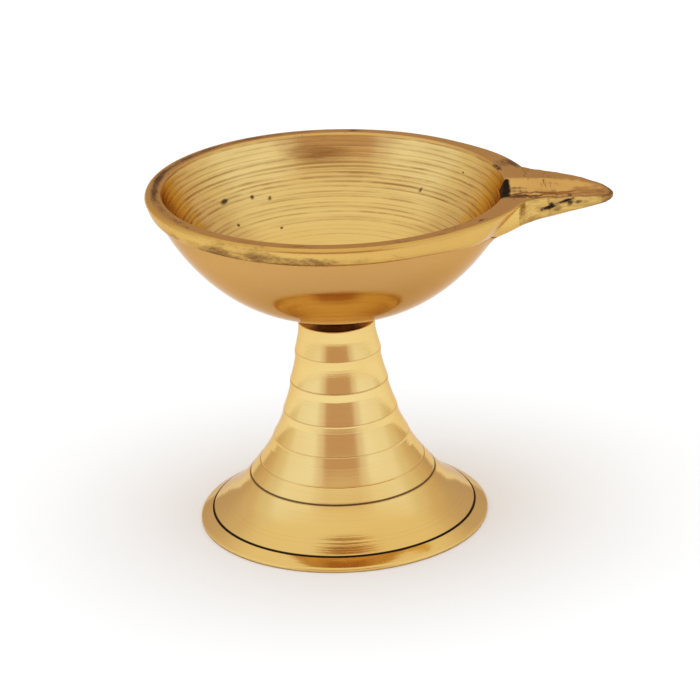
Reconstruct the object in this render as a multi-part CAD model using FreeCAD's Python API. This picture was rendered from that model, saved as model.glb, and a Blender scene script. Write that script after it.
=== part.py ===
"""Pedestal diya: a brass oil lamp, standing on its foot with the spout along +X.

The frame is +Z up, with the origin at the centre of the foot on the surface that the lamp stands on.
Every solid but the bowl is turned about the Z axis. All sizes are in millimetres.
"""
import FreeCAD, Part
import math
import os

V = FreeCAD.Vector
UP = V(0, 0, 1)

# ---------------------------------------------------------------- driving dimensions
LAMP_HEIGHT = 69.85          # 2.75 inch, foot to rim
RIM_RADIUS = 36.9            # outside of the rim band
MOUTH_RADIUS = 33.7          # inside of the rim
BOWL_SPHERE_RADIUS = 38.0    # outside of the bowl, a part of a sphere
BOWL_BOTTOM_Z = 43.5         # lowest point of that sphere
BOWL_FLOOR_THICKNESS = 3.4   # metal under the lowest point of the hollow
FOOT_RADIUS = 29.2
NECK_TOP_Z = 42.0            # flat top of the pedestal
NECK_RADIUS = 7.76

# rim band, a low cone around the mouth
BAND_HEIGHT = 3.85
BAND_LOW_RADIUS = 35.05
BAND_STEP = 0.3              # height of the ledge under the band
RIM_EDGE_ROUND = 0.4

# root of the spout, where the rim swells before the spout leaves it
COLLAR_CENTRE_X = 6.3
COLLAR_TOP_RADIUS = 32.4
COLLAR_LOW_RADIUS = 30.0
COLLAR_HEIGHT = 6.0

# spout
SPOUT_TIP_X = 54.7
SPOUT_START_X = 30.0
SPOUT_PLAN_DEPTH = 15.0      # how far the prism of its outline reaches under the rim
SPOUT_PLAN_HEIGHT = 20.0
CAST_TOP_X = 33.5            # highest point of the spout's top before the rim is faced flat
CAST_TOP_RISE = 0.14         # how far that point stands over the faced rim
TIP_DROOP = 2.9
# spout's outline in plan: x, half width
SPOUT_SIDE = [(37.3, 11.5), (39.5, 9.3), (44.0, 7.8), (48.0, 6.4), (51.0, 5.0)]
# spout's body: x, half width, depth under its top
KEEL = [(30.0, 14.0, 11.0), (36.0, 12.5, 7.8), (41.0, 9.8, 5.5),
        (47.0, 7.7, 3.8), (52.0, 5.6, 2.0), (55.4, 4.6, 0.8)]
# wick channel: x, middle, half width, depth
CHANNEL = [(29.0, -2.6, 6.3, 1.9), (38.0, -2.6, 6.3, 1.8), (42.0, -1.9, 6.0, 1.5),
           (46.0, -0.9, 5.5, 1.2), (50.0, -0.3, 4.3, 0.8), (53.2, 0.0, 2.2, 0.25)]
CHANNEL_HEADROOM = 1.0       # how far the channel's cutting shape stands over the spout's top
# poles of a trough's curved bottom, in depths under its top, that bring its lowest point to one depth
TROUGH_SIDE_POLE = 1.6
TROUGH_KEEL_POLE = 8 / 15

# boss under the bowl, and the M5 fastening that holds the bowl to the pedestal
BOSS_RADIUS = 3.8
STUD_RADIUS = 2.5
STUD_IN_BOWL = 3.9
THREAD_PITCH = 0.8
THREAD_CLEARANCE = 0.05
HOLE_CLEARANCE = 0.08
WEB_THICKNESS = 4.0
WASHER_RADIUS = 5.0
WASHER_THICKNESS = 1.0
NUT_ACROSS_FLATS = 8.0
NUT_HEIGHT = 4.0
NUT_FACE_SHARE = 0.95        # bearing face's diameter over the width across flats
NUT_TURNS_TO_FREE = 8
STUD_CHAMFER = 0.5

# pedestal, outside: each rib flares out to a ridge and then stands steep down to its foot, where the next
# one starts. The last ridge leads to the first of the two scribed lines.
COLLAR_WAIST = (7.68, 40.6)
COLLAR_LOW = (7.88, 39.0)
RIBS = [((8.60, 36.0), (8.63, 34.3)), ((9.80, 29.6), (9.97, 27.9)), ((11.43, 23.35), (11.77, 21.7)),
        ((13.65, 17.7), (14.54, 15.7))]
LAST_RIDGE = (16.5, 12.6)
FLARE_HOLLOW = 0.08
UPPER_LINE = (18.75, 9.65)
UPPER_LINE_FALL = 1.1        # how steeply the foot falls outward there
LOWER_LINE = (26.6, 2.47)
LOWER_LINE_FALL = 0.66
FLARE_MIDDLE = (21.9, 5.7)
LINE_WIDTH = 0.5
LINE_DEPTH = 0.35
FOOT_EDGE_HEIGHT = 0.65

# pedestal, inside: the core follows the outside, with a straight bore around the nut
BORE_RADIUS = 5.7
BORE_LOW_Z = 36.0
CORE = [(5.7, 36.0), (6.5, 31.5), (7.9, 26.0), (10.0, 19.9), (13.1, 13.8), (16.6, 8.8),
        (20.3, 4.6), (24.6, 1.7)]
FOOT_RING_INNER_RADIUS = 26.2

# ---------------------------------------------------------------- derived places
BOWL_CENTRE_Z = BOWL_BOTTOM_Z + BOWL_SPHERE_RADIUS
HOLLOW_BOTTOM_Z = BOWL_BOTTOM_Z + BOWL_FLOOR_THICKNESS
HOLLOW_DEPTH = LAMP_HEIGHT - HOLLOW_BOTTOM_Z
HOLLOW_SPHERE_RADIUS = (MOUTH_RADIUS ** 2 + HOLLOW_DEPTH ** 2) / (2 * HOLLOW_DEPTH)
HOLLOW_CENTRE_Z = HOLLOW_BOTTOM_Z + HOLLOW_SPHERE_RADIUS
BAND_LOW_Z = LAMP_HEIGHT - BAND_HEIGHT
WEB_LOW_Z = NECK_TOP_Z - WEB_THICKNESS
WASHER_LOW_Z = WEB_LOW_Z - WASHER_THICKNESS
NUT_LOW_Z = WASHER_LOW_Z - NUT_HEIGHT
STUD_TOP_Z = NECK_TOP_Z + STUD_IN_BOWL
STUD_LOW_Z = WASHER_LOW_Z - NUT_TURNS_TO_FREE * THREAD_PITCH
FACING_STOCK = 1.0           # metal above the rim that the facing cut takes off
HOLE_OVERRUN = 1.0           # how far a drill runs past the faces that it goes through
ARC_MIDDLE = math.radians(35)  # where the bowl's outline arc has its middle point, from straight down


# ---------------------------------------------------------------- shape helpers
def rz(radius, z):
    """A point of a turned outline: radius from the axis, height above the table."""
    return V(radius, 0, z)


def line(a, b):
    return Part.LineSegment(a, b).toShape()


def arc(a, middle, b):
    return Part.Arc(a, middle, b).toShape()


def turned(edges):
    """The solid turned about the Z axis by a closed outline of edges."""
    wire = Part.Wire(Part.__sortEdges__(edges))
    return Part.Face(wire).revolve(V(0, 0, 0), UP, 360)


def flared(a, b):
    """An arc from a down to b that hollows in from the straight line, towards the axis."""
    chord = b - a
    inward = V(-abs(chord.z), 0, -abs(chord.x)).normalize()
    return arc(a, (a + b) * 0.5 + inward * FLARE_HOLLOW, b)


def sphere_radius_at(z, centre_z, radius):
    return math.sqrt(radius ** 2 - (centre_z - z) ** 2)


def rod(radius, low_z, high_z):
    return Part.makeCylinder(radius, high_z - low_z, V(0, 0, low_z))


def trough_section(x, centre_y, half_width, top_z, depth):
    """A closed U across the spout at x: a flat top, upright sides and a round bottom."""
    def point(y, z):
        return V(x, centre_y + y, top_z + z)

    sides_z = -TROUGH_SIDE_POLE * depth
    keel_z = -TROUGH_KEEL_POLE * depth
    curve = Part.BezierCurve()
    curve.setPoles([point(-half_width, 0), point(-half_width, sides_z), point(0, keel_z),
                    point(half_width, sides_z), point(half_width, 0)])
    return Part.Wire([curve.toShape(), line(point(half_width, 0), point(-half_width, 0))])


def spout_top_z(x):
    """Height of the spout's top as cast: just over the rim at its root, drooping to the tip."""
    run = (x - CAST_TOP_X) / (SPOUT_TIP_X - CAST_TOP_X)
    return LAMP_HEIGHT + CAST_TOP_RISE - (CAST_TOP_RISE + TIP_DROOP) * run ** 2


# ---------------------------------------------------------------- bowl
def bowl_body():
    """The turned bowl, solid inside: a part of a sphere under a conical rim band, with its boss."""
    ledge_radius = sphere_radius_at(BAND_LOW_Z, BOWL_CENTRE_Z, BOWL_SPHERE_RADIUS)
    boss_meets_z = BOWL_CENTRE_Z - math.sqrt(BOWL_SPHERE_RADIUS ** 2 - BOSS_RADIUS ** 2)
    middle_radius = BOWL_SPHERE_RADIUS * math.sin(ARC_MIDDLE)
    middle_z = BOWL_CENTRE_Z - BOWL_SPHERE_RADIUS * math.cos(ARC_MIDDLE)
    edge_low = rz(RIM_RADIUS, LAMP_HEIGHT - RIM_EDGE_ROUND)
    edge_top = rz(RIM_RADIUS - RIM_EDGE_ROUND, LAMP_HEIGHT)
    slack = RIM_EDGE_ROUND * (1 - math.sqrt(0.5))
    stock = V(0, 0, FACING_STOCK)
    edge_middle = rz(RIM_RADIUS - slack, LAMP_HEIGHT - slack)
    outline = [
        line(rz(0, NECK_TOP_Z), rz(BOSS_RADIUS, NECK_TOP_Z)),
        line(rz(BOSS_RADIUS, NECK_TOP_Z), rz(BOSS_RADIUS, boss_meets_z)),
        arc(rz(BOSS_RADIUS, boss_meets_z), rz(middle_radius, middle_z), rz(ledge_radius, BAND_LOW_Z)),
        line(rz(ledge_radius, BAND_LOW_Z), rz(BAND_LOW_RADIUS, BAND_LOW_Z + BAND_STEP)),
        line(rz(BAND_LOW_RADIUS, BAND_LOW_Z + BAND_STEP), edge_low),
        arc(edge_low, edge_middle, edge_top),
        line(edge_top, edge_top + stock),
        line(edge_top + stock, rz(0, LAMP_HEIGHT) + stock),
        line(rz(0, LAMP_HEIGHT) + stock, rz(0, NECK_TOP_Z)),
    ]
    return turned(outline)


def spout_collar():
    """The swelling of the rim at the spout's root: a low cone set off the bowl's axis."""
    slope = (COLLAR_TOP_RADIUS - COLLAR_LOW_RADIUS) / COLLAR_HEIGHT
    return Part.makeCone(COLLAR_LOW_RADIUS, COLLAR_TOP_RADIUS + slope * FACING_STOCK,
                         COLLAR_HEIGHT + FACING_STOCK,
                         V(COLLAR_CENTRE_X, 0, LAMP_HEIGHT - COLLAR_HEIGHT))


def spout_plan():
    """An upright prism with the spout's outline in plan, from inside the rim to the round tip."""
    low_z = LAMP_HEIGHT - SPOUT_PLAN_DEPTH

    def at(x, y):
        return V(x, y, low_z)

    def side(sign):
        curve = Part.BSplineCurve()
        curve.interpolate([at(x, sign * y) for x, y in SPOUT_SIDE])
        return curve.toShape()

    root_x, root_y = SPOUT_SIDE[0]
    end_x, end_y = SPOUT_SIDE[-1]
    edges = [
        line(at(SPOUT_START_X, -root_y), at(SPOUT_START_X, root_y)),
        line(at(SPOUT_START_X, root_y), at(root_x, root_y)),
        side(1),
        arc(at(end_x, end_y), at(SPOUT_TIP_X, 0), at(end_x, -end_y)),
        side(-1),
        line(at(root_x, -root_y), at(SPOUT_START_X, -root_y)),
    ]
    return Part.Face(Part.Wire(Part.__sortEdges__(edges))).extrude(UP * SPOUT_PLAN_HEIGHT)


def spout_keel():
    """The spout's body: U sections that get narrower and thinner towards the drooping tip."""
    sections = [trough_section(x, 0, half_width, spout_top_z(x), depth)
                for x, half_width, depth in KEEL]
    return Part.makeLoft(sections, True)


def wick_channel():
    """The shallow channel from the bowl to the tip. It sits off the spout's middle, towards -Y."""
    sections = [trough_section(x, centre_y, half_width, spout_top_z(x) + CHANNEL_HEADROOM,
                               depth + CHANNEL_HEADROOM)
                for x, centre_y, half_width, depth in CHANNEL]
    return Part.makeLoft(sections, True)


def bowl():
    body = bowl_body().fuse([spout_collar(), spout_keel().common(spout_plan())])
    facing = rod(2 * RIM_RADIUS, LAMP_HEIGHT, LAMP_HEIGHT + 2 * FACING_STOCK)
    hollow = Part.makeSphere(HOLLOW_SPHERE_RADIUS, V(0, 0, HOLLOW_CENTRE_Z))
    stud_hole = rod(STUD_RADIUS + THREAD_CLEARANCE, NECK_TOP_Z - HOLE_OVERRUN, STUD_TOP_Z)
    return body.cut(facing).cut(hollow).cut(wick_channel()).cut(stud_hole)


# ---------------------------------------------------------------- pedestal
def scribed_line(place, fall):
    """Edges of a V groove centred at place, on a surface that falls outward at the slope fall."""
    radius, z = place
    along = V(1, 0, -fall).normalize() * (LINE_WIDTH / 2)
    inward = V(-fall, 0, -1).normalize() * LINE_DEPTH
    start, bottom, end = rz(radius, z) - along, rz(radius, z) + inward, rz(radius, z) + along
    return start, end, [line(start, bottom), line(bottom, end)]


def pedestal():
    """A hollow turned stem with ring ribs, flaring to a wide thin-edged foot."""
    ridges = [rz(*ridge) for ridge, foot in RIBS] + [rz(*LAST_RIDGE)]
    feet = [rz(*COLLAR_LOW)] + [rz(*foot) for ridge, foot in RIBS]
    upper_start, upper_end, upper_edges = scribed_line(UPPER_LINE, UPPER_LINE_FALL)
    lower_start, lower_end, lower_edges = scribed_line(LOWER_LINE, LOWER_LINE_FALL)
    neck_top = rz(NECK_RADIUS, NECK_TOP_Z)
    foot_edge = rz(FOOT_RADIUS, FOOT_EDGE_HEIGHT)
    ring_inner = rz(FOOT_RING_INNER_RADIUS, 0)
    core_end = rz(*CORE[-1])
    core = Part.BSplineCurve()
    core.interpolate([rz(*p) for p in CORE])
    outline = [
        line(rz(0, NECK_TOP_Z), neck_top),
        arc(neck_top, rz(*COLLAR_WAIST), feet[0]),
        *[flared(foot, ridge) for foot, ridge in zip(feet, ridges)],
        *[line(ridge, foot) for ridge, foot in zip(ridges, feet[1:])],
        line(ridges[-1], upper_start),
        *upper_edges,
        arc(upper_end, rz(*FLARE_MIDDLE), lower_start),
        *lower_edges,
        line(lower_end, foot_edge),
        line(foot_edge, rz(FOOT_RADIUS, 0)),
        line(rz(FOOT_RADIUS, 0), ring_inner),
        line(ring_inner, core_end),
        core.toShape(),
        line(rz(BORE_RADIUS, BORE_LOW_Z), rz(BORE_RADIUS, WEB_LOW_Z)),
        line(rz(BORE_RADIUS, WEB_LOW_Z), rz(0, WEB_LOW_Z)),
        line(rz(0, WEB_LOW_Z), rz(0, NECK_TOP_Z)),
    ]
    hole = rod(STUD_RADIUS + HOLE_CLEARANCE, WEB_LOW_Z - HOLE_OVERRUN, NECK_TOP_Z + HOLE_OVERRUN)
    return turned(outline).cut(hole)


# ---------------------------------------------------------------- fastening
def joining_stud():
    """M5 stud, fixed in the bowl's boss and hanging through the pedestal's top."""
    stud = rod(STUD_RADIUS, STUD_LOW_Z, STUD_TOP_Z)
    end_circles = [edge for edge in stud.Edges if edge.isClosed()]
    return stud.makeChamfer(STUD_CHAMFER, end_circles)


def washer():
    disc = rod(WASHER_RADIUS, WASHER_LOW_Z, WEB_LOW_Z)
    hole = rod(STUD_RADIUS + HOLE_CLEARANCE, WASHER_LOW_Z - HOLE_OVERRUN, WEB_LOW_Z + HOLE_OVERRUN)
    return disc.cut(hole)


def hex_nut():
    """Hexagon with its corners turned off at 30 degrees on both faces."""
    corner_radius = NUT_ACROSS_FLATS / 2 / math.cos(math.pi / 6)
    corners = [V(corner_radius * math.cos(math.radians(60 * i)),
                 corner_radius * math.sin(math.radians(60 * i)), NUT_LOW_Z) for i in range(7)]
    prism = Part.Face(Part.makePolygon(corners)).extrude(V(0, 0, NUT_HEIGHT))
    face_radius = NUT_ACROSS_FLATS / 2 * NUT_FACE_SHARE
    drop = (corner_radius - face_radius) * math.tan(math.pi / 6)
    blank = turned([
        line(rz(0, NUT_LOW_Z), rz(face_radius, NUT_LOW_Z)),
        line(rz(face_radius, NUT_LOW_Z), rz(corner_radius, NUT_LOW_Z + drop)),
        line(rz(corner_radius, NUT_LOW_Z + drop), rz(corner_radius, WASHER_LOW_Z - drop)),
        line(rz(corner_radius, WASHER_LOW_Z - drop), rz(face_radius, WASHER_LOW_Z)),
        line(rz(face_radius, WASHER_LOW_Z), rz(0, WASHER_LOW_Z)),
        line(rz(0, WASHER_LOW_Z), rz(0, NUT_LOW_Z)),
    ])
    bore = rod(STUD_RADIUS + THREAD_CLEARANCE, NUT_LOW_Z - HOLE_OVERRUN, WASHER_LOW_Z + HOLE_OVERRUN)
    return prism.common(blank).cut(bore)


# ---------------------------------------------------------------- output
NODES = {
    "bowl": bowl,
    "joining_stud": joining_stud,
    "pedestal": pedestal,
    "washer": washer,
    "hex_nut": hex_nut,
}

os.makedirs("parts", exist_ok=True)
for name, make in NODES.items():
    shape = make()
    solid = shape.Solids[0]
    assert len(shape.Solids) == 1 and solid.isValid(), name
    solid.exportStep(f"parts/{name}.step")
    box = solid.optimalBoundingBox(False, False)
    print(f"{name:13s} {solid.Volume / 1000:7.3f} cm3  x {box.XMin:.2f}..{box.XMax:.2f}"
          f"  y {box.YMin:.2f}..{box.YMax:.2f}  z {box.ZMin:.2f}..{box.ZMax:.2f}")
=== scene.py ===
"""Pedestal diya in polished brass: high-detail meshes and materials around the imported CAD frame.

Every outline below is in millimetres, in the frame's own axes: +Z up, spout along +X. MM turns it to metres.
"""

import math

import bpy
import numpy as np
from mathutils import Matrix, Vector


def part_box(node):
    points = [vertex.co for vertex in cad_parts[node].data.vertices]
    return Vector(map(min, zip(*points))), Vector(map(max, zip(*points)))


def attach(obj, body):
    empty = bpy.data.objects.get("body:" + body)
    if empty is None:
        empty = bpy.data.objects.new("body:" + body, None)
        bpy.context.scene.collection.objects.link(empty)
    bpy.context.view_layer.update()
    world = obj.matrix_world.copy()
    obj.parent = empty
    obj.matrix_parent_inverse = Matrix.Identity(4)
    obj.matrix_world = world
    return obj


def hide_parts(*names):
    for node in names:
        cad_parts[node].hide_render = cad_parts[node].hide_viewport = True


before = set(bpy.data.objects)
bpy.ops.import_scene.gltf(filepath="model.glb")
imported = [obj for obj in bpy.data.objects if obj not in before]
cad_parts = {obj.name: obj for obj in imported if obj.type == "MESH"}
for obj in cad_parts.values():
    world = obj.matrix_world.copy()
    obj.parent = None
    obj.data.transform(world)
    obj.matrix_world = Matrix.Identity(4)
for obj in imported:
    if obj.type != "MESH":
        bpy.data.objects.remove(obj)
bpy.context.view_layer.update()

MM = 0.001

# ---------------------------------------------------------------- sizes from the frame
bowl_low, bowl_high = (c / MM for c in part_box("bowl"))
stand_low, stand_high = (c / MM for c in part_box("pedestal"))
stud_low, stud_high = (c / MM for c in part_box("joining_stud"))
washer_low, washer_high = (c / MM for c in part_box("washer"))
nut_low, nut_high = (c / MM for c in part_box("hex_nut"))

RIM_Z = bowl_high.z
RIM_R = -bowl_low.x
TIP_X = bowl_high.x
NECK_Z = stand_high.z
FOOT_R = stand_high.x
STUD_R = stud_high.x
WASHER_R = washer_high.x
NUT_FLAT = nut_high.y

# ---------------------------------------------------------------- bowl shape
MOUTH_R = RIM_R - 3.2
OUT_SPHERE_R = 38.0
OUT_CENTRE_Z = RIM_Z + 11.65
OUT_BOTTOM_Z = OUT_CENTRE_Z - OUT_SPHERE_R
WALL_FLOOR = 3.4
HOLLOW_LOW_Z = OUT_BOTTOM_Z + WALL_FLOOR
HOLLOW_DEPTH = RIM_Z - HOLLOW_LOW_Z
IN_SPHERE_R = (MOUTH_R ** 2 + HOLLOW_DEPTH ** 2) / (2 * HOLLOW_DEPTH)
IN_CENTRE_Z = HOLLOW_LOW_Z + IN_SPHERE_R
IN_REACH = IN_SPHERE_R * math.asin(MOUTH_R / IN_SPHERE_R)      # from the bottom to the mouth, along the wall
BELLY = 0.3                    # the bowl's underside is this much fuller than its sphere, about halfway out
BOSS_R = 3.8
BOSS_FILLET_R = 4.7            # where the boss has curved out into the bowl
BAND_HEIGHT = 4.0
BAND_STEP = 0.3                # the ledge under the rim band
BAND_DROP = 2.3                # the band reaches this much lower at the spout
FACED_R = 38.1                 # the lathe faced the rim flat out to here
CAST_DROP = 0.16               # the rough top beyond that lies this much lower
SPOUT_TOP_X = 36.5             # the spout's top starts to droop here
TIP_DROOP = 1.8
KEEL_FROM_X = 28.5             # the keel starts inside the band
KEEL_POWER = 3.4               # of its section, between an ellipse's 2 and a box
CHANNEL_FROM_X = 25
EDGE_ROUND = 0.35              # of the mouth's edge and of the spout's
RIM_ROUND = 0.95               # of the rim's outer edge
BOWL_LEAN = math.radians(0.9)  # the bowl sits a little crooked on the stand, spout low
TOOL_MARKS = 70
MARK_SPACING = 0.54
MARK_DEPTH = 0.05

# outline of rim and spout in plan: degrees from +X, radius
PLAN = [(0, TIP_X - 0.03), (1.2, 54.45), (2.5, 53.85), (4.0, 52.75), (5.6, 51.05), (7.6, 48.3), (8.8, 46.5),
        (10.05, 44.6), (11.5, 42.3), (13.2, 40.4), (14.5, 39.4), (16.0, 38.75), (19.0, 38.4),
        (24.0, 38.1), (30.0, 37.8), (40.0, 37.3), (50.0, 36.95), (60.0, RIM_R), (180.0, RIM_R)]
# the spout's keel: x, half width, depth under the top
KEEL = [(28.0, 15.5, 10.0), (34.0, 13.7, 7.5), (37.0, 12.3, 6.1), (40.0, 10.3, 5.4), (43.0, 8.9, 4.85),
        (46.0, 7.9, 3.9), (49.0, 6.8, 3.0), (52.0, 5.2, 2.0), (55.0, 4.0, 0.8)]
# the wick channel: x, middle, half width, depth
CHANNEL = [(29.0, -2.6, 6.4, 1.9), (38.0, -2.6, 6.4, 1.8), (42.0, -2.0, 6.2, 1.5), (46.0, -1.0, 5.8, 1.2),
           (50.0, -0.3, 4.6, 0.7), (53.4, 0.0, 2.4, 0.0), (56.0, 0.0, 1.0, 0.0)]
# casting pits on the spout's near side: x, depth under the top, half length, half height, strength
SPOUT_PITS = [(41.7, 2.0, 1.35, 0.34, 1.0), (42.3, 1.55, 0.5, 0.5, 1.0), (45.2, 0.75, 1.35, 0.26, 1.0),
              (46.0, 1.1, 0.45, 0.5, 0.9), (47.6, 1.05, 0.5, 0.3, 0.75), (43.6, 2.3, 0.7, 0.35, 0.5)]
# casting pits in the hollow: x, y, half length, half width
HOLLOW_PITS = [(-22.7, 17.3, 1.0, 0.26), (-17.4, 21.9, 0.35, 0.25), (-13.9, 23.5, 0.35, 0.25),
               (-19.8, 14.8, 0.3, 0.22), (-11.4, 19.0, 0.25, 0.2), (16.8, 23.1, 0.3, 0.22)]

# ---------------------------------------------------------------- stand and fastener shape
# ribs from the neck down: foot and ridge as (radius, height), hollow of the flare between them, ridge's stain
RIBS = [((7.88, 39.0), (8.60, 36.0), 0.02, 0.4),
        ((8.63, 34.3), (9.80, 29.6), 0.10, 0.7),
        ((9.97, 27.9), (11.43, 23.35), 0.10, 0.5),
        ((11.77, 21.7), (13.65, 17.7), 0.12, 0.4),
        ((14.54, 15.7), (16.5, 12.6), 0.03, 0.15)]
# the foot's flare between the two scribed lines: radius, height
FLARE = [(17.6, 11.6), (18.92, 9.47), (20.4, 7.6), (21.9, 5.97), (24.2, 4.08), (26.45, 2.42), (28.0, 1.3)]
# the cored hollow under the stem: radius, height
CORE_TOP_R = 5.7
CORE_LOW_R = 24.6
CORE = [(CORE_TOP_R, 36.0), (6.5, 31.5), (7.9, 26.0), (10.0, 19.9), (13.1, 13.8), (16.6, 8.8), (20.3, 4.6),
        (CORE_LOW_R, 1.7)]
BORE_R = 2.58
WEB_THICKNESS = 4.0            # the web at the stem's top, which the stud goes through

THREAD_PITCH = 0.8
THREAD_DEPTH = 0.46
THREAD_ROOT = STUD_R - THREAD_DEPTH
STUD_END_R = STUD_R - 0.5
NUT_FACE_R = 3.8
NUT_LEAD_IN = 0.6
NUT_CHAMFER = math.radians(30)


# ---------------------------------------------------------------- numbers and curves
def smooth(t):
    """0 to 1, eased at both ends."""
    t = np.clip(t, 0.0, 1.0)
    return t * t * (3 - 2 * t)


def bump_at(value, centre, width):
    """1 at the centre, falling off smoothly over width."""
    return np.exp(-((value - centre) / width) ** 2)


def soft_min(a, b, k):
    """The lower of a and b, with the corner between them rounded over a depth of k."""
    h = np.clip(0.5 + 0.5 * (b - a) / k, 0.0, 1.0)
    return b + (a - b) * h - k * h * (1 - h)


def column(table, i, x):
    """Column i of a table whose column 0 is x, read off between its rows."""
    return np.interp(x, [row[0] for row in table], [row[i] for row in table])


def monotone(xs, ys, x):
    """Smooth curve through the points with no overshoot (Fritsch-Carlson slopes)."""
    xs, ys = np.asarray(xs, float), np.asarray(ys, float)
    step, rise = np.diff(xs), np.diff(ys)
    slope = rise / step
    m = np.zeros(len(xs))
    same = slope[1:] * slope[:-1] > 0
    w1, w2 = 2 * step[1:] + step[:-1], step[1:] + 2 * step[:-1]
    inner = np.zeros(len(slope) - 1)
    inner[same] = (w1 + w2)[same] / (w1[same] / slope[:-1][same] + w2[same] / slope[1:][same])
    m[1:-1] = inner
    i = np.clip(np.searchsorted(xs, x) - 1, 0, len(step) - 1)
    t = (x - xs[i]) / step[i]
    h = step[i]
    return ((1 + 2 * t) * (1 - t) ** 2 * ys[i] + t * (1 - t) ** 2 * h * m[i]
            + t * t * (3 - 2 * t) * ys[i + 1] + t * t * (t - 1) * h * m[i + 1])


def curve(table, radii):
    """Points (r, z) at the radii, on the smooth curve through a table of such points."""
    return list(zip(radii, monotone([row[0] for row in table], [row[1] for row in table], radii)))


def ripple(x, y, z, scale, seed, waves=9):
    """Repeatable smooth unevenness, about -1 to 1, with features about scale long."""
    rng = np.random.default_rng(seed)
    total = np.zeros(np.broadcast(x, y, z).shape)
    for _ in range(waves):
        d = rng.normal(size=3)
        d *= 2 * math.pi / (scale * rng.uniform(0.7, 1.6)) / np.linalg.norm(d)
        total += np.sin(d[0] * x + d[1] * y + d[2] * z + rng.uniform(0, 2 * math.pi))
    return total / math.sqrt(waves * 2)


# ---------------------------------------------------------------- mesh building
def new_piece(name, verts, faces, materials, pick, body, node, place=Matrix.Identity(4)):
    """A smooth-shaded mesh that rides on a CAD body and stands for a CAD node. pick holds each face's
    material number, for a mesh with several materials."""
    mesh = bpy.data.meshes.new(name)
    mesh.from_pydata((np.asarray(verts) * MM).tolist(), [], faces)
    for material in materials:
        mesh.materials.append(material)
    if pick is not None:
        mesh.polygons.foreach_set("material_index", pick)
    mesh.polygons.foreach_set("use_smooth", [True] * len(mesh.polygons))
    mesh.update()
    obj = bpy.data.objects.new(name, mesh)
    bpy.context.scene.collection.objects.link(obj)
    obj.matrix_world = place
    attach(obj, body)
    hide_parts(node)
    return obj


def paint(obj, name, values):
    """Per-vertex amounts that the materials read by name."""
    attribute = obj.data.attributes.new(name, "FLOAT", "POINT")
    attribute.data.foreach_set("value", np.clip(values, 0, 1).astype(np.float32))


def around(step):
    """Column angles, step degrees apart."""
    return np.radians(np.arange(0, 360, step))


def turned(outline, theta):
    """An outline's points (r, z) as radius and height by ring and column."""
    points = np.array(outline)
    one = np.ones(len(theta))
    return points[:, :1] * one, points[:, 1:] * one


def lathe(r, z, theta, closed):
    """Vertices, faces and each face's ring of a turned skin. r and z are rings by columns. Where closed is
    false the first and last rings have radius 0 and become single points; where it is true the last ring
    joins the first."""
    rings, columns = r.shape
    grid = np.stack([r * np.cos(theta), r * np.sin(theta), z], axis=-1)
    if closed:
        verts = grid.reshape(-1, 3)
        index = np.arange(rings * columns).reshape(rings, columns)
        pairs = [(k, (k + 1) % rings) for k in range(rings)]
        caps, offset = [], 0
    else:
        verts = np.concatenate([grid[:1, 0], grid[1:-1].reshape(-1, 3), grid[-1:, 0]])
        index = np.arange((rings - 2) * columns).reshape(rings - 2, columns) + 1
        pairs = [(k, k + 1) for k in range(rings - 3)]
        caps, offset = [(0, index[0], False), (len(verts) - 1, index[-1], True)], 1
    after = np.roll(np.arange(columns), -1)
    faces, ring_of = [], []
    for a, b in pairs:
        faces += np.stack([index[a], index[a][after], index[b][after], index[b]], axis=-1).tolist()
        ring_of += [a + offset] * columns
    for tip, ring, last in caps:
        for c in range(columns):
            a, b = int(ring[c]), int(ring[after[c]])
            faces.append([tip, a, b] if last else [tip, b, a])
        ring_of += [rings - 2 if last else 0] * columns
    return verts, faces, np.array(ring_of)


def flat_rings(values):
    """Amounts by ring and column in the order of the vertices of a lathe skin that isn't closed."""
    return np.concatenate([values[:1, 0], values[1:-1].reshape(-1), values[-1:, 0]])


def arc3(a, m, b, count):
    """Points on the circle through three points (r, z), from a to b, ends included."""
    (ax, ay), (bx, by), (cx, cy) = a, m, b
    d = 2 * (ax * (by - cy) + bx * (cy - ay) + cx * (ay - by))
    ux = ((ax * ax + ay * ay) * (by - cy) + (bx * bx + by * by) * (cy - ay)
          + (cx * cx + cy * cy) * (ay - by)) / d
    uy = ((ax * ax + ay * ay) * (cx - bx) + (bx * bx + by * by) * (ax - cx)
          + (cx * cx + cy * cy) * (bx - ax)) / d
    radius = math.hypot(ax - ux, ay - uy)
    angles = np.unwrap([math.atan2(p[1] - uy, p[0] - ux) for p in (a, m, b)])
    t = np.linspace(angles[0], angles[2], count)
    return [(ux + radius * math.cos(v), uy + radius * math.sin(v)) for v in t]


def run(a, b, count):
    """Evenly spaced points from a to b, ends included."""
    return [tuple(p) for p in np.linspace(a, b, count)]


# ---------------------------------------------------------------- bowl surfaces
def from_spout(theta):
    """Degrees away from the spout, either way round."""
    return np.abs((np.degrees(theta) + 180) % 360 - 180)


def outline_radius(theta):
    """Outline of rim and spout in plan, with the file's unevenness where the spout starts."""
    smooth_radius = monotone([p[0] for p in PLAN], [p[1] for p in PLAN], from_spout(theta))
    x = smooth_radius * np.cos(theta)
    filed = bump_at(x, 40.0, 5.0) * (from_spout(theta) < 25)
    return smooth_radius + filed * 0.035 * ripple(x, 0, 0, 0.9, 31)


def top_line(x):
    """The spout's top along its middle, before the channel."""
    run_out = np.clip((x - SPOUT_TOP_X) / (TIP_X - SPOUT_TOP_X), 0, 1.1)
    return RIM_Z - TIP_DROOP * run_out ** 2


def channel_across(x, y):
    """1 along the wick channel's floor, 0 outside it."""
    middle, half = (column(CHANNEL, i, x) for i in (1, 2))
    u = np.abs(y - middle) / np.maximum(half, 0.1)
    steep = np.where(y > middle, 0.25, 0.45)
    return np.where(x > CHANNEL_FROM_X, 1 - smooth((u - steep) / (1 - steep)), 0)


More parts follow.
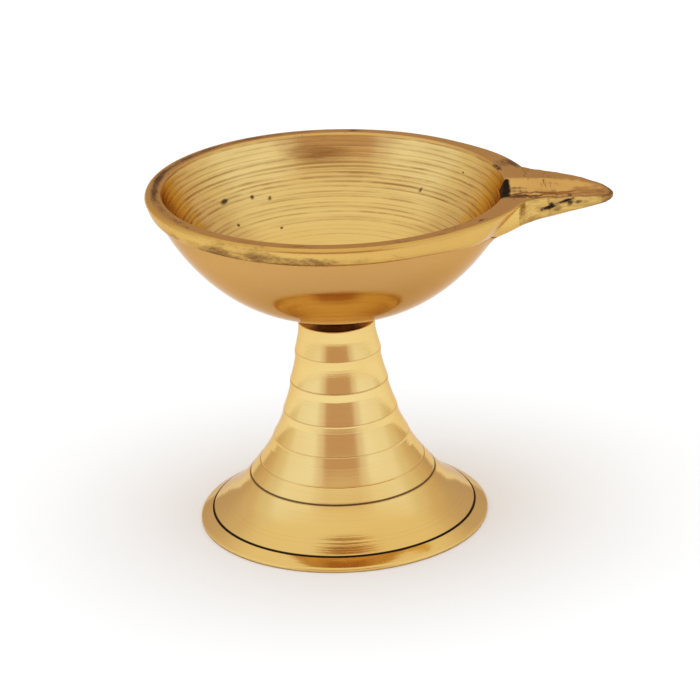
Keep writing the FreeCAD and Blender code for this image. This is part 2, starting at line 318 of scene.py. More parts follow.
def rim_top(x, y):
    """Top of rim and spout as a height over the plan."""
    cast = smooth((np.hypot(x, y) - FACED_R) / 0.35)
    uneven = 0.10 * ripple(x, y, 0, 5.0, 11) + 0.05 * ripple(x, y, 0, 1.6, 12)
    z = RIM_Z + cast * (top_line(x) - RIM_Z - CAST_DROP + uneven)
    rough = 1 + 0.10 * ripple(x * 0.4, y, 0, 2.0, 13) + 0.05 * ripple(x * 0.5, y, 0, 0.8, 14)
    return z - column(CHANNEL, 3, x) * channel_across(x, y) * rough


def band_low_z(theta):
    """Height of the rim band's lower edge, which drops towards the spout."""
    return RIM_Z - BAND_HEIGHT - BAND_DROP * smooth((62 - from_spout(theta)) / 40)


def ledge_radius(theta):
    """Where the bowl's outer sphere meets the band's lower edge."""
    return np.sqrt(OUT_SPHERE_R ** 2 - (OUT_CENTRE_Z - band_low_z(theta)) ** 2)


def outer_round(theta):
    """Radius of the rounded outer edge, crisper on the spout."""
    return EDGE_ROUND + (RIM_ROUND - EDGE_ROUND) * smooth((from_spout(theta) - 24) / 24)


def outside_z(r, theta, r_out):
    """Underside of the bowl, its rim band and the spout's keel as one height over the plan."""
    x, y = r * np.cos(theta), r * np.sin(theta)
    sphere = OUT_CENTRE_Z - np.sqrt(np.maximum(OUT_SPHERE_R ** 2 - r ** 2, 1.0))
    sphere = sphere - BELLY * smooth((r - 12) / 8) * smooth((33 - r) / 12)
    low, ledge_r = band_low_z(theta), ledge_radius(theta)
    band_r = ledge_r + 0.35
    t = np.clip((r - band_r) / np.maximum(r_out - band_r, 0.1), 0, 1)
    rise = smooth((r - ledge_r) / 0.3)
    fullness = 1 + 1.8 * smooth((from_spout(theta) - 26) / 20)
    band = low + BAND_STEP + t ** fullness * (RIM_Z - 0.4 - low - BAND_STEP)
    z = sphere * (1 - rise) + band * rise
    half, depth = column(KEEL, 1, x), column(KEEL, 2, x)
    across = np.clip(np.abs(y) / half, 0, 0.9999)
    keel = top_line(x) - depth * (1 - across ** KEEL_POWER) ** (1 / KEEL_POWER)
    return np.where((np.abs(y) < half) & (x > KEEL_FROM_X), soft_min(z, keel, 1.4), z)


def spread(r, z, rows, last_length=None):
    """Each column's outline from the points r, z (points by columns), spaced evenly along its length. With
    last_length, the rows stop that far short of the end, and the rest gets rows of its own."""
    along = np.concatenate([np.zeros((1, r.shape[1])), np.cumsum(np.hypot(np.diff(r, axis=0),
                                                                         np.diff(z, axis=0)), axis=0)])
    total = along[-1]
    if last_length is None:
        where = np.linspace(0, 1, rows[0])[:, None] * total
    else:
        corner = total - last_length
        where = np.concatenate([np.linspace(0, 1, rows[0])[:-1, None] * corner,
                                corner + np.linspace(0, 1, rows[1])[:, None] * last_length])
    pick = [(np.interp(where[:, c], along[:, c], r[:, c]), np.interp(where[:, c], along[:, c], z[:, c]))
            for c in range(r.shape[1])]
    return np.array([p[0] for p in pick]).T, np.array([p[1] for p in pick]).T


def bowl_columns():
    """Column angles of the bowl, close together around the spout."""
    return np.radians(np.concatenate([np.arange(-20, 20, 0.2), np.arange(20, 340, 0.75)]))


def tool_marks(along, theta):
    """Grooves that the lathe left inside the bowl, 0 to 1, at a distance along the wall from the bottom."""
    rng = np.random.default_rng(5)
    depth = 0
    for k in range(TOOL_MARKS):
        coarse = k % 2 == 0
        place = IN_REACH - 0.6 - MARK_SPACING * k + rng.uniform(-0.16, 0.16)
        strength = rng.uniform(0.55, 1.0) if coarse else rng.uniform(0.1, 0.5)
        wander = 0.10 * np.sin(theta + rng.uniform(0, 6.28)) + 0.05 * np.sin(3 * theta + k)
        broken = 0.75 + 0.25 * np.sin(2 * theta + rng.uniform(0, 6.28)) * np.sin(5 * theta + k)
        width = rng.uniform(0.17, 0.26) if coarse else rng.uniform(0.09, 0.14)
        fade = smooth((place - 17) / 14)
        depth = depth + strength * fade * broken * bump_at(along, place + wander, width)
    return np.minimum(depth, 1.0)


def bowl_rings():
    """The whole bowl skin by ring and column: radius, height and groove depth; then each ring's zone name and
    each column's angle."""
    theta = bowl_columns()
    one = np.ones(len(theta))
    r_out = outline_radius(theta)
    rows_r, rows_z, grooves, zone = [], [], [], []

    def add(r, z, name, groove=0.0):
        rows_r.append(r * one)
        rows_z.append(z * one)
        grooves.append(groove * one)
        zone.append(name)

    # stud hole and boss
    hole = STUD_R + 0.05
    for r, z in [(0, stud_high.z), (STUD_R, stud_high.z), (hole, stud_high.z - 0.05), (hole, NECK_Z + 0.12),
                 (hole + 0.12, NECK_Z), (BOSS_R - 0.2, NECK_Z), (BOSS_R - 0.05, NECK_Z + 0.05),
                 (BOSS_R, NECK_Z + 0.2)]:
        add(r, z, "boss")
    for r, z in arc3((BOSS_R, OUT_BOTTOM_Z - 0.35), (BOSS_R + 0.25, OUT_BOTTOM_Z + 0.08),
                     (BOSS_FILLET_R, OUT_BOTTOM_Z + 0.29), 6):
        add(r, z, "boss")
    # the bowl's outside, then its ledge, then rim band or spout up to the rounded top edge
    ledge_r = ledge_radius(theta)
    edge = outer_round(theta)
    top_at = rim_top((r_out - edge) * np.cos(theta), (r_out - edge) * np.sin(theta))
    steps = np.linspace(0, 1, 500)[:, None]

    def outline(start, end):
        r = start + (end - start) * steps
        return r, outside_z(r, theta, r_out)

    for r, z in zip(*spread(*outline((BOSS_FILLET_R + 0.25) * one, ledge_r - 0.02), [170])):
        add(r, z, "outside")
    for r, z in zip(*spread(*outline(ledge_r, ledge_r + 0.36), [6])):
        add(r, z, "ledge")
    r, z = outline(ledge_r + 0.42, r_out - 0.02)
    z = np.minimum(z, top_at - edge - 0.02)
    wall = np.maximum(top_at - edge - z[-1], 0.02)
    r, z = np.concatenate([r, r_out[None]]), np.concatenate([z, (z[-1] + wall)[None]])
    for r, z in zip(*spread(r, z, [56, 26], np.maximum(wall + 0.02, 1.2))):
        add(r, z, "band")
    edge_z = rows_z[-1]
    for a in np.linspace(0, math.pi / 2, 10)[1:]:
        add(r_out - edge * (1 - math.cos(a)), edge_z + edge * math.sin(a), "band")
    # the mouth: where the hollow meets the rim's top or the channel's floor
    mouth = MOUTH_R * one
    for _ in range(12):
        z = rim_top((mouth + EDGE_ROUND) * np.cos(theta), (mouth + EDGE_ROUND) * np.sin(theta))
        mouth = np.sqrt(IN_SPHERE_R ** 2 - (IN_CENTRE_Z - z) ** 2)
    start, end = r_out - edge, mouth + EDGE_ROUND * 0.8
    for t in np.linspace(0, 1, 92)[1:]:
        r = start + (end - start) * t
        add(r, rim_top(r * np.cos(theta), r * np.sin(theta)), "top")
    # inner edge and the hollow
    top_z = rows_z[-1]
    for t in (0.35, 0.7, 1.0):
        add(end + (mouth - end) * t, top_z - EDGE_ROUND * 0.7 * t * t, "top")
    wall_angle = np.arccos(np.clip((IN_CENTRE_Z - rows_z[-1]) / IN_SPHERE_R, -1, 1))
    for t in np.linspace(0, 1, 300)[1:]:
        a = wall_angle * (1 - t)
        groove = tool_marks(IN_SPHERE_R * a, theta)
        reach = IN_SPHERE_R + MARK_DEPTH * groove
        add(reach * np.sin(a), IN_CENTRE_Z - reach * np.cos(a), "inside", groove)
    rows_r[-1] = 0 * one
    return np.array(rows_r), np.array(rows_z), np.array(grooves), zone, theta


# ---------------------------------------------------------------- materials
GOLD = (0.83, 0.62, 0.24)
GOLD_WARM = (0.80, 0.54, 0.17)
BROWN = (0.30, 0.14, 0.045)
SOOT = (0.022, 0.014, 0.012)
EDGE_TINT = (0.84, 0.70, 0.55, 1)


class Nodes:
    """Short ways to add nodes to a material's or the world's tree."""

    def __init__(self, tree):
        self.tree = tree

    def add(self, kind, feed=(), out=0, **values):
        """One node's output: settings and plain input values by name, links by feed."""
        made = self.tree.nodes.new(kind)
        for key, value in values.items():
            if key in made.inputs:
                made.inputs[key].default_value = value
            else:
                setattr(made, key, value)
        for socket, source in dict(feed).items():
            self.tree.links.new(source, made.inputs[socket])
        return made.outputs[out]

    def split(self, vector):
        """X, Y and Z of a vector."""
        made = self.tree.nodes.new("ShaderNodeSeparateXYZ")
        self.tree.links.new(vector, made.inputs[0])
        return [made.outputs[axis] for axis in "XYZ"]

    def maths(self, operation, *terms):
        """One sum of numbers and other nodes' outputs."""
        made = self.tree.nodes.new("ShaderNodeMath")
        made.operation = operation
        for socket, term in zip(made.inputs, terms):
            if isinstance(term, (int, float)):
                socket.default_value = term
            else:
                self.tree.links.new(term, socket)
        return made.outputs[0]

    def step_up(self, value, low, high, to_low=0.0, to_high=1.0):
        """Eased step from to_low to to_high as value goes from low to high."""
        made = self.tree.nodes.new("ShaderNodeMapRange")
        made.interpolation_type = "SMOOTHSTEP"
        limits = {"From Min": low, "From Max": high, "To Min": to_low, "To Max": to_high}
        for socket, number in limits.items():
            made.inputs[socket].default_value = number
        self.tree.links.new(value, made.inputs["Value"])
        return made.outputs[0]

    def blend(self, factor, a, b):
        """From a to b, each a colour or another node's output."""
        made = self.tree.nodes.new("ShaderNodeMix")
        made.data_type = "RGBA"
        self.tree.links.new(factor, made.inputs["Factor"])
        for socket, value in (("A", a), ("B", b)):
            if isinstance(value, tuple):
                made.inputs[socket].default_value = (*value, 1)
            else:
                self.tree.links.new(value, made.inputs[socket])
        return made.outputs["Result"]


def brass(name, clean, warm, stain_and_shade, roughness, marks="height", mark_pitch=0.35, mark_bump=0.06, lines=0.0,
          clouds=0.2, cloud_size=7.0, streak=4.0, stain_rough=0.38, pits=0.0, dash=0.2, grain_bump=0.04,
          anisotropy=0.3):
    """Brass with the lathe's marks running round the Z axis. clean and warm are its two tones, the third
    colour that of its tarnish, which also serves for painted shade and painted reflection. marks says what
    the marks follow: height, radius, or arc, the distance along the bowl's inside.
    clouds is how much of it is tarnished, in patches about cloud_size long, stretched streak times round the
    axis. Vertex paint adds to it: the painted stain, in places painted shade and painted reflection, is
    broken up by the patches, groove into dashes that leave at least dash of it between them, and soot is
    black and whole. pits is how many of the casting's pits show."""
    material = bpy.data.materials.new(name)
    material.use_nodes = True
    tree = material.node_tree
    shader = tree.nodes["Principled BSDF"]
    nodes = Nodes(tree)
    node, maths, step_up, blend = nodes.add, nodes.maths, nodes.step_up, nodes.blend

    def noise(place, size, detail=3.0, rough=0.55):
        return node("ShaderNodeTexNoise", {"Vector": place}, "Fac", Scale=1 / (size * MM), Detail=detail,
                    Roughness=rough)

    # where the surface point is: round the axis, and along the lathe tool's path
    place = node("ShaderNodeTexCoord", out="Object")
    x, y, z = nodes.split(place)
    plan = node("ShaderNodeCombineXYZ", {"X": x, "Y": y})
    radius = node("ShaderNodeVectorMath", {0: plan}, "Value", operation="LENGTH")
    heading = node("ShaderNodeVectorMath", {0: plan}, operation="NORMALIZE")
    if marks == "radius":
        along = radius
    elif marks == "height":
        along = z
    else:
        below = maths("SUBTRACT", IN_CENTRE_Z * MM, z)
        along = maths("MULTIPLY", maths("ARCTAN2", radius, below), IN_SPHERE_R * MM)
    cosine, sine, _ = nodes.split(heading)
    wide = RIM_R * MM / streak
    streaks = node("ShaderNodeCombineXYZ", {"X": maths("MULTIPLY", cosine, wide),
                                            "Y": maths("MULTIPLY", sine, wide), "Z": along})

    # tarnish: patches, painted stains with painted shade and painted reflection among them, and dark turning
    # lines
    patches = maths("MULTIPLY_ADD", noise(streaks, cloud_size / 7, 3.0, 0.65), 0.4,
                    noise(streaks, cloud_size, 4.0, 0.6))
    cloud = step_up(patches, 0.98 - 0.55 * clouds, 1.10 - 0.45 * clouds)
    painted = node("ShaderNodeAttribute", out="Fac", attribute_name="stain_and_shade")
    soaked = step_up(maths("ADD", painted, patches), 1.0, 1.5)
    groove = node("ShaderNodeAttribute", out="Fac", attribute_name="groove")
    dashes = step_up(noise(streaks, 1.1, 3.0, 0.7), 0.36, 0.60, dash)
    wobble = maths("MULTIPLY_ADD", noise(place, 16.0, 2.0), 0.0004, along)
    turned = tree.nodes.new("ShaderNodeTexNoise")
    turned.noise_dimensions = "1D"
    turned.inputs["Scale"].default_value = 1 / (mark_pitch * MM)
    turned.inputs["Detail"].default_value = 3.0
    tree.links.new(wobble, turned.inputs["W"])
    fine_lines = maths("MULTIPLY", step_up(turned.outputs["Fac"], 0.52, 0.72), lines)
    dark_lines = maths("MULTIPLY", maths("ADD", groove, fine_lines), dashes)
    tarnish_and_shade = maths("MINIMUM", maths("MAXIMUM", maths("MAXIMUM", cloud, soaked), dark_lines), 1.0)

    # casting pits: a few of the cells of a pattern have one each
    cells = tree.nodes.new("ShaderNodeTexVoronoi")
    cells.inputs["Scale"].default_value = 1 / (3.2 * MM)
    tree.links.new(place, cells.inputs["Vector"])
    chosen = node("ShaderNodeSeparateColor", {0: cells.outputs["Color"]})
    size = step_up(chosen, 1 - pits, 1.0, 0.0, 0.07)
    pit = maths("LESS_THAN", cells.outputs["Distance"], size)
    soot = node("ShaderNodeAttribute", out="Fac", attribute_name="soot")
    black = maths("MAXIMUM", maths("MULTIPLY", pit, 0.8), soot)

    tone = blend(step_up(noise(streaks, 20.0, 2.0), 0.3, 0.7), clean, warm)
    colour = blend(black, blend(tarnish_and_shade, tone, stain_and_shade), SOOT)
    tree.links.new(colour, shader.inputs["Base Color"])
    gloss = step_up(maths("MAXIMUM", tarnish_and_shade, black), 0.0, 1.0, roughness, stain_rough)
    tree.links.new(gloss, shader.inputs["Roughness"])

    # relief: turning marks, pits and grain
    relief = node("ShaderNodeBump", {"Height": turned.outputs["Fac"]}, Strength=mark_bump, Distance=0.0002)
    dented = node("ShaderNodeBump", {"Height": maths("SUBTRACT", 0.0, black), "Normal": relief}, Strength=0.5,
                  Distance=0.00025)
    rough = node("ShaderNodeBump", {"Height": noise(place, 0.4), "Normal": dented}, Strength=grain_bump,
                 Distance=0.0001)
    tree.links.new(rough, shader.inputs["Normal"])

    shader.inputs["Metallic"].default_value = 1.0
    shader.inputs["Specular Tint"].default_value = EDGE_TINT
    shader.inputs["Anisotropic"].default_value = anisotropy
    tangent = node("ShaderNodeTangent", direction_type="RADIAL", axis="Z")
    tree.links.new(tangent, shader.inputs["Tangent"])
    return material


M_INSIDE = brass("brass_inside", GOLD, GOLD_WARM, (0.33, 0.145, 0.04), 0.12, marks="arc", mark_pitch=0.5,
                 mark_bump=0.08, lines=0.12, clouds=0.08, cloud_size=5.0, streak=9.0, pits=0.16, dash=0.4)
M_TOP = brass("brass_rim_top", (0.74, 0.47, 0.155), (0.66, 0.38, 0.12), (0.13, 0.07, 0.042), 0.24,
              marks="radius", mark_pitch=0.25, mark_bump=0.05, lines=0.08, clouds=0.38, cloud_size=2.2,
              streak=4.0, pits=0.05)
M_BAND = brass("brass_rim_band", (0.76, 0.51, 0.15), (0.68, 0.41, 0.11), (0.22, 0.10, 0.035), 0.2,
               mark_pitch=0.3, mark_bump=0.10, lines=0.15, clouds=0.1, cloud_size=2.6, streak=2.5, pits=0.08)
# the bowl's underside: base tones darker and more orange than the other brass, as painted reflection of
# darker surroundings below it
M_OUT_SHADED = brass("brass_outside_painted_shade", (0.65, 0.38, 0.125), (0.60, 0.33, 0.105), BROWN, 0.10, mark_pitch=0.4,
              mark_bump=0.03, clouds=0.05, cloud_size=6.0)
# the boss and stud hole between bowl and stand: brass painted near black, as painted shade
M_BOSS_SHADE = brass("brass_boss_painted_shade", (0.20, 0.10, 0.04), (0.15, 0.07, 0.03), SOOT, 0.4, clouds=0.5)
M_STEM = brass("brass_stem", (0.85, 0.64, 0.26), (0.81, 0.56, 0.19), (0.46, 0.22, 0.08), 0.12, mark_pitch=0.3,
               mark_bump=0.05, lines=0.06, clouds=0.06, cloud_size=5.0, pits=0.05, dash=0.8)
M_CORE = brass("brass_as_cast", (0.52, 0.31, 0.12), (0.42, 0.23, 0.08), (0.12, 0.06, 0.03), 0.5,
               mark_bump=0.3, clouds=0.6, streak=1.5, grain_bump=0.5, anisotropy=0.0, pits=0.3)
M_SMALL = brass("brass_fastener", (0.74, 0.50, 0.20), (0.66, 0.42, 0.15), BROWN, 0.26, clouds=0.35,
                cloud_size=2.5, streak=1.5)


# ---------------------------------------------------------------- pieces
def make_bowl():
    """Bowl, rim and spout as one skin, with its stains, grooves and soot painted on, and among the stains
    painted shade under the band's ledge and painted reflection at the back of the hollow.
    """
    r, z, groove, zone, theta = bowl_rings()
    verts, faces, ring_of = lathe(r, z, theta, closed=False)
    materials = [M_BOSS_SHADE, M_OUT_SHADED, M_BAND, M_TOP, M_INSIDE]
    number = {"boss": 0, "outside": 1, "ledge": 2, "band": 2, "top": 3, "inside": 4}
    pick = np.array([number[name] for name in zone])[ring_of]
    joint = Matrix.Translation((0, 0, NECK_Z * MM))
    lean = joint @ Matrix.Rotation(BOWL_LEAN, 4, "Y") @ joint.inverted()
    obj = new_piece("bowl_casting", verts, faces, materials, pick, "bowl_top", "bowl", lean)

    def in_zone(name):
        """1 at the vertices of one zone, 0 at the others."""
        return flat_rings(np.outer(np.array(zone) == name, np.ones(len(theta))))

    x, y, h = (verts[:, i] for i in range(3))
    radius, turn = np.hypot(x, y), np.degrees(np.arctan2(y, x)) % 360
    to_outline = outline_radius(np.arctan2(y, x)) - radius
    on_top = smooth((radius - MOUTH_R + 0.1) / 0.2) * smooth((h - RIM_Z + 3.4) / 0.3)
    on_rim = (radius < FACED_R) * (h > RIM_Z - 0.2) * (radius > MOUTH_R)
    in_channel = channel_across(x, y) * on_top

    # stains: a dark ring along the rim's middle, worst at the left, then the spout's collar and channel, the
    # tip's edge, the band's lower half and the spout's near side; with them painted shade, a dark line under
    # the band's ledge, and painted reflection, darker patches at the back of the hollow
    left = bump_at(turn, 172, 32) * 0.48 + bump_at(turn, 118, 34) * 0.30
    ring = on_rim * bump_at(radius, RIM_R - 1.9, 1.1) * (0.26 + left)
    collar = 0.75 * on_top * bump_at(np.hypot(x - 35.5, y - 13.0), 0, 4.5)
    root = in_channel * (0.40 * smooth((45 - x) / 12) + 0.26 + 0.26 * ripple(x * 0.12, y, 0, 0.8, 46))
    tip = on_top * smooth((x - 50) / 3) * smooth((1.3 - to_outline) / 0.8) * 0.7
    front = (h > RIM_Z - BAND_HEIGHT) * (radius > 34.8) * bump_at(turn, 248, 50)
    low_band = front * (0.34 + 0.26 * smooth((RIM_Z - 1.2 - h) / 1.2))
    # painted shade: a dark line painted under the band's ledge, where its shadow falls
    ledge_shade = 0.8 * in_zone("ledge")
    inside = in_zone("inside")
    # painted reflection: darker patches painted on the upper hollow, where it reflects darker surroundings
    upper = inside * (radius < MOUTH_R) * (h < RIM_Z) * smooth((h - RIM_Z + 11) / 6)
    patches = [(97, 19, 0.56), (196, 24, 0.58), (352, 16, 0.58)]
    hollow_reflection = upper * sum(amount * bump_at(turn, degrees, width) for degrees, width, amount in patches)
    near_side = (y < -3) * (x > 36) * (h < top_line(x) - 0.1) * (to_outline < 0.7)
    stains_and_shade = [ring, collar, root, tip, low_band, ledge_shade, hollow_reflection, 0.5 * near_side]
    paint(obj, "stain_and_shade", np.maximum.reduce(stains_and_shade))

    # the lathe's grooves inside, and the file's marks up the spout's near side
    filed = near_side * smooth((46 - x) / 4) * smooth(ripple(x + 0.12 * h, 0, 0, 0.75, 47) * 1.6 - 0.1)
    paint(obj, "groove", np.maximum(flat_rings(groove), 0.6 * filed))

    # a black patch at the channel's mouth, casting pits in the spout's near side and the hollow, and specks
    # on the rim
    mouth_x = np.sqrt(np.maximum(MOUTH_R ** 2 - y ** 2, 0)) - 0.6
    width = 0.3 + 1.3 * smooth((y + 5.0) / 4.0)
    uneven = 0.3 * ripple(x, y, 0, 1.5, 41)
    at_mouth = (np.abs(y + 2.6) < 5.6) * (x > CHANNEL_FROM_X) * smooth((h - RIM_Z + 2.9) / 0.5)
    soot = smooth((width + uneven - (x - mouth_x)) / 0.5) * at_mouth
    for pit_x, down, half_length, half_height, strength in SPOUT_PITS:
        across = (x - pit_x) / half_length + 0.3 * ripple(x, 0, h, 0.7, 43)
        tall = (top_line(x) - h - down + 0.25 * (x - pit_x)) / half_height + 0.3 * ripple(x, 0, h, 0.6, 44)
        soot = np.maximum(soot, strength * near_side * smooth(1.6 - np.hypot(across, tall)))
    for pit_x, pit_y, half_length, half_width in HOLLOW_PITS:
        lengthwise = ((x - pit_x) * 0.54 + (y - pit_y) * 0.84) / half_length
        crosswise = ((x - pit_x) * 0.84 - (y - pit_y) * 0.54) / half_width
        pit = inside * (h < RIM_Z - 4) * smooth(1.6 - np.hypot(lengthwise, crosswise))
        soot = np.maximum(soot, 0.9 * pit)
    specks = on_rim * smooth(ripple(x, y, 0, 0.8, 45) * 2.2 - 1.9) * (left + 0.1)
    paint(obj, "soot", np.maximum(soot, specks))


def make_pedestal():
    """The stand's skin: ribbed outside, core inside, as one closed turned outline."""
    outline, zone, stains_and_shade, soots = [], [], [], []

    def add(points, name, stain_and_shade=0.0, soot=0.0):
        outline.extend(points)
        zone.extend([name] * len(points))
        stains_and_shade.extend([stain_and_shade] * len(points))
        soots.extend([soot] * len(points))

    # the neck's face, the ribs, and the upper scribed line with its soft edges
    add([(BORE_R, NECK_Z - 0.15), (2.75, NECK_Z)], "skin")
    # painted shade: the neck's face under the bowl gets a dark amount in the stand's groove paint
    add(run((3.2, NECK_Z), (7.45, NECK_Z), 8), "skin", stain_and_shade=0.8)
    add(arc3((7.55, NECK_Z - 0.02), (7.68, NECK_Z - 0.08), (7.74, NECK_Z - 0.25), 4), "skin")
    feet = [rib[0] for rib in RIBS]
    add(arc3((7.74, NECK_Z - 0.4), (7.70, 40.6), feet[0], 16)[:-1], "skin")
    for (foot, ridge, hollow, stain_and_shade), next_foot in zip(RIBS, feet[1:] + [None]):
        middle_r = (foot[0] + ridge[0]) / 2 - hollow
        flare = arc3(foot, (middle_r, (foot[1] + ridge[1]) / 2), ridge, 30)
        add(flare[:-1], "skin")
        add([ridge, (ridge[0] + 0.03, ridge[1] - 0.14)], "skin", stain_and_shade=stain_and_shade)
        if next_foot:
            add(run((ridge[0] + 0.04, ridge[1] - 0.28), next_foot, 9)[:-1], "skin")
    add(run((16.62, 12.45), (18.52, 9.97), 16), "skin")
    add([(18.58, 9.88)], "skin", stain_and_shade=0.3)
    add([(18.64, 9.78), (18.65, 9.64), (18.72, 9.56)], "skin", soot=0.85)
    add([(18.80, 9.56)], "skin", stain_and_shade=1.0)
    add([(18.86, 9.50), (18.94, 9.44)], "skin", stain_and_shade=0.35)
    # the flare, the lower scribed line, and the foot's edge and underside
    add(curve(FLARE, np.linspace(19.02, 26.4, 60)), "skin")
    add([(26.48, 2.36), (26.54, 2.18), (26.66, 2.08), (26.76, 2.17)], "skin", soot=1.0)
    add(arc3((26.86, 2.13), (27.9, 1.51), (28.9, 0.87), 14), "skin")
    add(arc3((29.0, 0.78), (FOOT_R - 0.04, 0.6), (FOOT_R, 0.4), 5), "skin")
    add([(FOOT_R, 0.2), (FOOT_R - 0.06, 0.05), (FOOT_R - 0.2, 0.0)], "skin", stain_and_shade=0.6)
    add(run((28.6, 0), (26.5, 0), 6), "skin", stain_and_shade=0.6)
    # the cored hollow, up to the underside of the web
    add([(26.3, 0.04), (26.1, 0.16)], "core")
    add(run((25.8, 0.4), CORE[-1], 5)[:-1], "core")
    add(curve(CORE, np.linspace(CORE_LOW_R, CORE_TOP_R, 60)), "core")
    web = NECK_Z - WEB_THICKNESS
    add([(CORE_TOP_R, 37.0), (CORE_TOP_R, web - 0.3), (CORE_TOP_R - 0.1, web - 0.08), (5.4, web), (4.0, web),
         (2.75, web), (BORE_R, web + 0.15)], "core")

    theta = around(1.2)
    r, z = turned(outline, theta)
    r = r + 0.012 * ripple(r * np.cos(theta), r * np.sin(theta), z, 9.0, 21)
    verts, faces, ring_of = lathe(r, z, theta, closed=True)
    pick = np.array([0 if name == "skin" else 1 for name in zone])[ring_of]
    obj = new_piece("pedestal_casting", verts, [f[::-1] for f in faces], [M_STEM, M_CORE], pick, "stand",
                    "pedestal")
    # the groove paint holds the stains at the ridges and the foot, and the painted shade on the neck's face
    paint(obj, "groove", np.repeat(stains_and_shade, len(theta)))
    paint(obj, "soot", np.repeat(soots, len(theta)))


def thread_depth(z, theta):
    """0 at the crest and 1 at the root of the right-hand thread that starts at the stud's lower end."""
    phase = (z - stud_low.z) / THREAD_PITCH - theta / (2 * math.pi)
    saw = np.abs((phase % 1.0) - 0.5) * 2
    return np.clip((saw - 0.12) / 0.76, 0, 1)


def make_stud():
    """Stud threaded all along, chamfered at both ends."""
    theta = around(5.0)
    one = np.ones(len(theta))
    rows = [(0 * one, stud_low.z * one), (STUD_END_R * one, stud_low.z * one)]
    for h in np.arange(stud_low.z + 0.05, stud_high.z - 0.04, 0.05):
        near_end = min(h - stud_low.z, stud_high.z - h)
        r = STUD_R - THREAD_DEPTH * thread_depth(h, theta)
        rows.append((np.minimum(r, STUD_END_R + near_end), h * one))
    rows += [(STUD_END_R * one, stud_high.z * one), (0 * one, stud_high.z * one)]
    r, z = (np.array([row[i] for row in rows]) for i in (0, 1))
    verts, faces, _ = lathe(r, z, theta, closed=False)
    new_piece("threaded_stud", verts, faces, [M_SMALL], None, "bowl_top", "joining_stud")


def make_washer():
    """Flat ring with softened edges."""
    low, high = washer_low.z, washer_high.z
    inner, middle, outer, soft = STUD_R + 0.1, 3.6, WASHER_R, 0.12
    outline = [(inner, low + soft), (inner + soft, low), (middle, low), (outer - soft, low),
               (outer - 0.03, low + 0.03), (outer, low + soft), (outer, high - soft),
               (outer - 0.03, high - 0.03), (outer - soft, high), (middle, high), (inner + soft, high),
               (inner, high - soft)]
    theta = around(3.0)
    verts, faces, _ = lathe(*turned(outline, theta), theta, closed=True)
    new_piece("flat_washer", verts, faces, [M_SMALL], None, "loose_washer", "washer")


def make_nut():
    """Hexagon chamfered on both faces, with the stud's thread cut inside it."""
    low, high = nut_low.z, nut_high.z
    theta = around(2.5)
    flat = NUT_FLAT / np.cos(np.radians(np.degrees(theta) % 60 - 30))
    fall = math.tan(NUT_CHAMFER)
    rows = []

    def add(r, z):
        rows.append((r * np.ones(len(theta)), z * np.ones(len(theta))))

    add(STUD_R + 0.5, low + 0.02)
    for h in np.arange(low + 0.08, high - 0.04, 0.06):
        mouth = max(0.0, NUT_LEAD_IN - min(h - low, high - h))
        r = STUD_R + 0.05 - THREAD_DEPTH * thread_depth(h, theta)
        add(np.maximum(r, THREAD_ROOT + mouth + 0.05) * (mouth > 0) + r * (mouth == 0), h)
    add(STUD_R + 0.5, high - 0.02)
    add(STUD_R + 0.6, high)
    add(NUT_FACE_R - 0.1, high)
    for t in (0.0, 0.5, 1.0):
        r = NUT_FACE_R + (flat - NUT_FACE_R) * t
        add(r, high - (r - NUT_FACE_R) * fall - 0.01)
    drop = (flat - NUT_FACE_R) * fall
    for t in (0.1, 0.5, 0.9):
        add(flat, high - drop - (high - low - 2 * drop) * t)
    for t in (1.0, 0.5, 0.0):
        r = NUT_FACE_R + (flat - NUT_FACE_R) * t
        add(r, low + (r - NUT_FACE_R) * fall + 0.01)
    add(NUT_FACE_R - 0.1, low)
    add(STUD_R + 0.6, low)
    r, z = (np.array([row[i] for row in rows]) for i in (0, 1))
    verts, faces, _ = lathe(r, z, theta, closed=True)
    new_piece("threaded_nut", verts, [f[::-1] for f in faces], [M_SMALL], None, "nut", "hex_nut")


make_bowl()
make_pedestal()
make_stud()
make_washer()
make_nut()

# ---------------------------------------------------------------- studio
FLOOR_HALF = 3.0
# the light tent's walls, by degrees from the front, where its opening is, and its ceiling
WALLS = [(0, (0.62, 0.42, 0.34)), (24, (0.62, 0.43, 0.35)), (36, (0.84, 0.76, 0.78)), (50, (1.0, 1.03, 1.1)),
         (85, (0.97, 0.99, 1.04)), (105, (0.84, 0.79, 0.70)), (125, (0.74, 0.62, 0.52)),
         (145, (0.63, 0.52, 0.49)), (180, (0.57, 0.47, 0.47))]
CEILING = (0.93, 0.87, 0.76)
CEILING_FROM, CEILING_TO = (math.sin(math.radians(v)) for v in (32, 58))
LIGHT_HEIGHT = 1.5
CAMERA_PLACE = (25.565, -551.924, 257.4)
CAMERA_TURNS = (68.063, 2.198, 1.515)    # degrees about X, Y and Z: it looks slightly down and leans a little


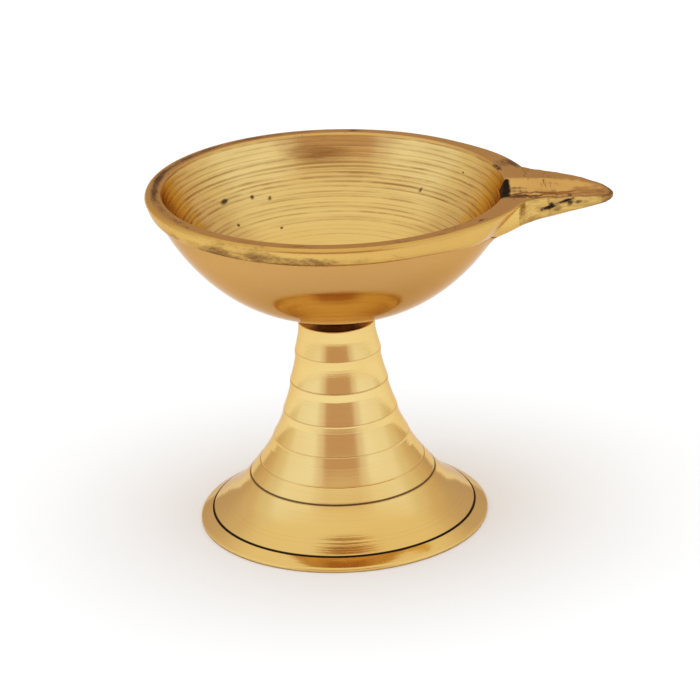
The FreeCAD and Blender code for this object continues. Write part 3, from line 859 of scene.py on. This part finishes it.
def make_floor():
    """Plain pale floor that the lamp stands on."""
    mesh = bpy.data.meshes.new("floor")
    s = FLOOR_HALF
    mesh.from_pydata([(-s, -s, 0), (s, -s, 0), (s, s, 0), (-s, s, 0)], [], [(0, 1, 2, 3)])
    material = bpy.data.materials.new("pale_floor")
    material.use_nodes = True
    shader = material.node_tree.nodes["Principled BSDF"]
    shader.inputs["Base Color"].default_value = (0.95, 0.95, 0.95, 1)
    shader.inputs["Roughness"].default_value = 0.8
    shader.inputs["Specular IOR Level"].default_value = 0.1
    mesh.materials.append(material)
    obj = bpy.data.objects.new("floor", mesh)
    bpy.context.scene.collection.objects.link(obj)


def make_world():
    """A light tent: soft walls, brightest at the sides, under a soft ceiling."""
    world = bpy.data.worlds.new("studio")
    bpy.context.scene.world = world
    world.use_nodes = True
    tree = world.node_tree
    nodes = Nodes(tree)
    x, y, z = nodes.split(nodes.add("ShaderNodeTexCoord", out="Generated"))
    bearing = nodes.maths("ARCTAN2", nodes.maths("ABSOLUTE", x), nodes.maths("SUBTRACT", 0.0, y))
    ramp = tree.nodes.new("ShaderNodeValToRGB")
    tree.links.new(nodes.maths("DIVIDE", bearing, math.pi), ramp.inputs["Fac"])
    ramp.color_ramp.interpolation = "EASE"
    elements = ramp.color_ramp.elements
    while len(elements) < len(WALLS):
        elements.new(0.5)
    for element, (degrees, colour) in zip(elements, WALLS):
        element.position = degrees / 180
        element.color = (*colour, 1)
    sky = nodes.blend(nodes.step_up(z, CEILING_FROM, CEILING_TO), ramp.outputs["Color"], CEILING)
    background = tree.nodes["Background"]
    tree.links.new(sky, background.inputs["Color"])
    background.inputs["Strength"].default_value = 1.0


def make_floor_light():
    """A wide soft light overhead that whitens the floor and doesn't show as a glint in the brass."""
    light = bpy.data.lights.new("floor_light", "AREA")
    light.size = 1.6
    light.energy = 13
    light.color = (0.62, 0.82, 1.0)
    obj = bpy.data.objects.new("floor_light", light)
    obj.location = (0, 0, LIGHT_HEIGHT)
    obj.visible_glossy = False
    obj.visible_camera = False
    bpy.context.scene.collection.objects.link(obj)


def make_camera():
    """A long lens at the front of the lamp."""
    data = bpy.data.cameras.new("camera")
    data.lens = 153.3
    data.sensor_width = 36.0
    data.clip_start = 0.01
    data.clip_end = 20
    obj = bpy.data.objects.new("camera", data)
    obj.location = Vector(CAMERA_PLACE) * MM
    obj.rotation_euler = [math.radians(v) for v in CAMERA_TURNS]
    bpy.context.scene.collection.objects.link(obj)
    bpy.context.scene.camera = obj


make_floor()
make_world()
make_floor_light()
make_camera()
bpy.context.scene.view_settings.view_transform = "Standard"
